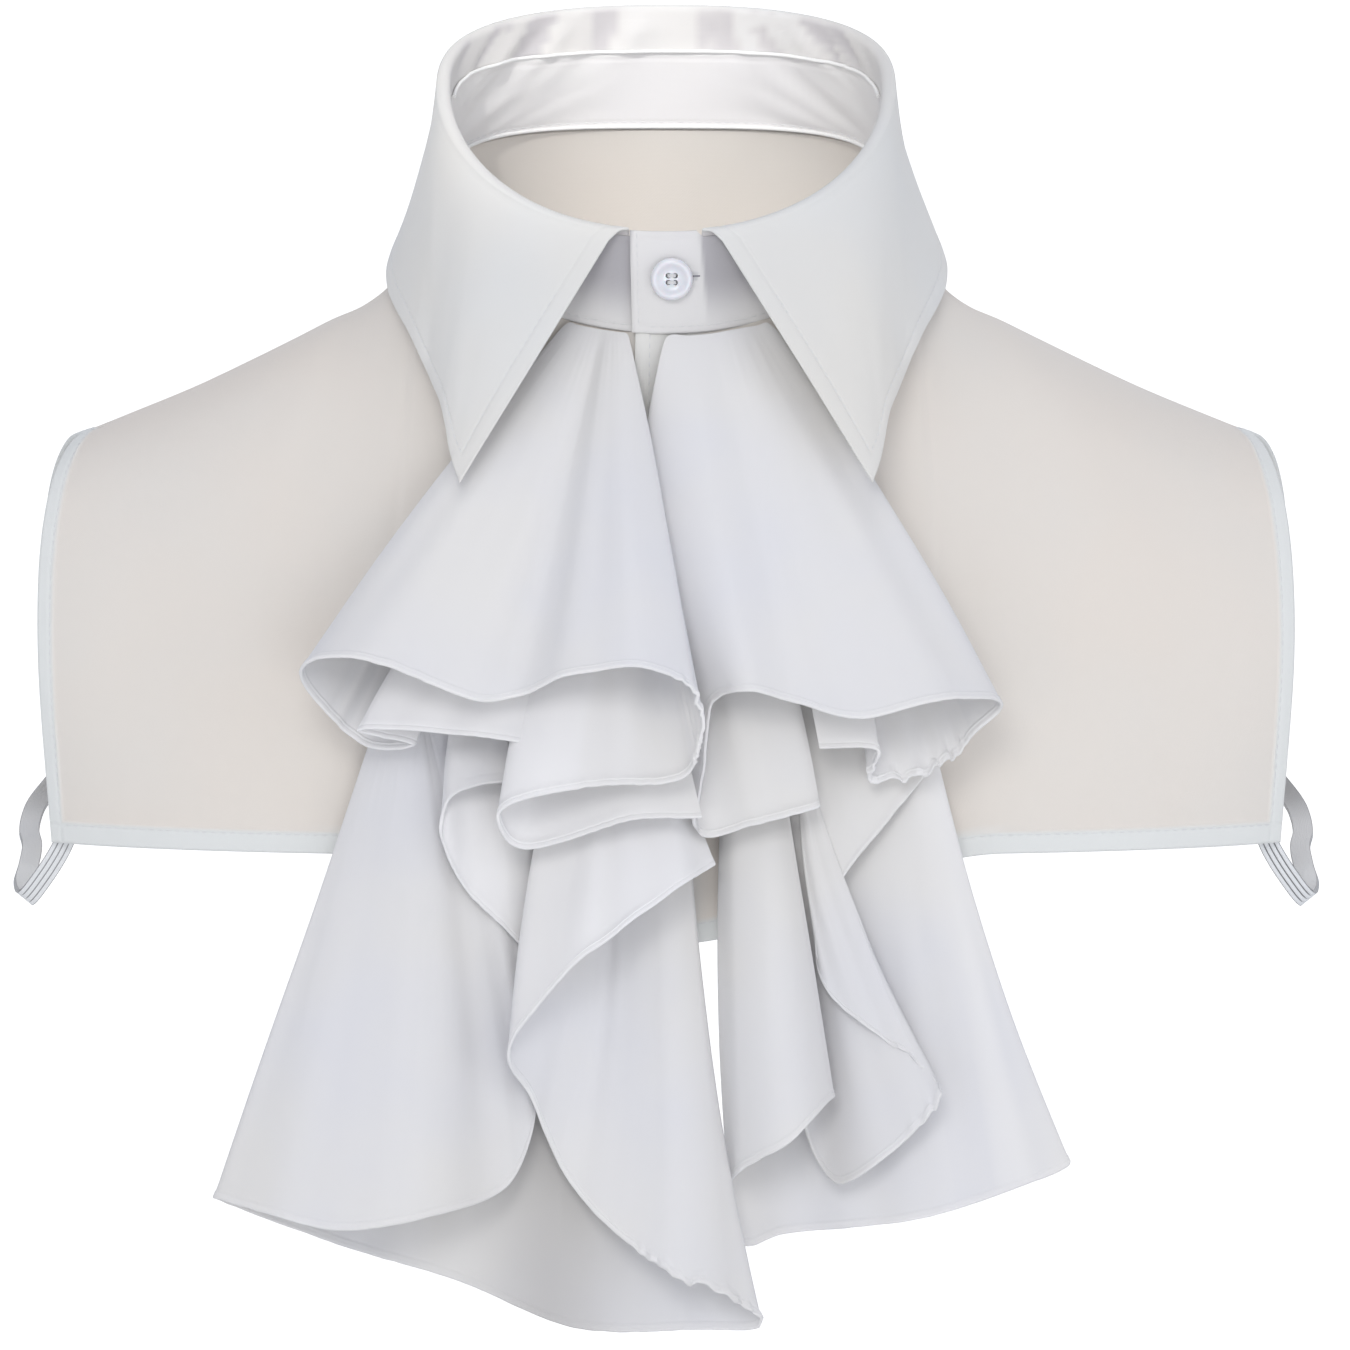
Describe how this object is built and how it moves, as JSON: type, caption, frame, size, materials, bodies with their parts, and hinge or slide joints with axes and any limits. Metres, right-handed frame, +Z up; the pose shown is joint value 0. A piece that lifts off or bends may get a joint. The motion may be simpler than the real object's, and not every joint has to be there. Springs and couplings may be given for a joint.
{
  "type": "detachable collar",
  "caption": "Detachable pointed shirt collar on a short bib, with a two-tier ruffled jabot at the throat and an elastic loop at each side.",
  "frame": {"origin": "the neck: the middle of the opening that the band's bottom seam goes round, halfway between throat and nape in height", "axes": "+Z up, front of the collar toward -Y, wearer's left side toward +X"},
  "size_m": [0.385, 0.2473, 0.3773],
  "materials": {
    "stand_cloth": "matte shirt cotton, stiffened",
    "collar_cloth": "matte shirt cotton, stiffened",
    "bib_cloth": "matte shirt cotton",
    "ruffle_cloth": "soft matte crepe with a slight sheen",
    "elastic": "ribbed woven elastic",
    "button": "pearly gloss"
  },
  "bodies": {
    "root": {"collar_stand": "stand_cloth", "collar_leaf": "collar_cloth", "button": "button", "front_panel_left": "bib_cloth", "front_panel_right": "bib_cloth", "back_panel": "bib_cloth", "jabot_upper_left": "ruffle_cloth", "jabot_upper_right": "ruffle_cloth", "jabot_lower_left": "ruffle_cloth", "jabot_lower_right": "ruffle_cloth", "elastic_left": "elastic", "elastic_right": "elastic"}
  },
  "joints": []
}
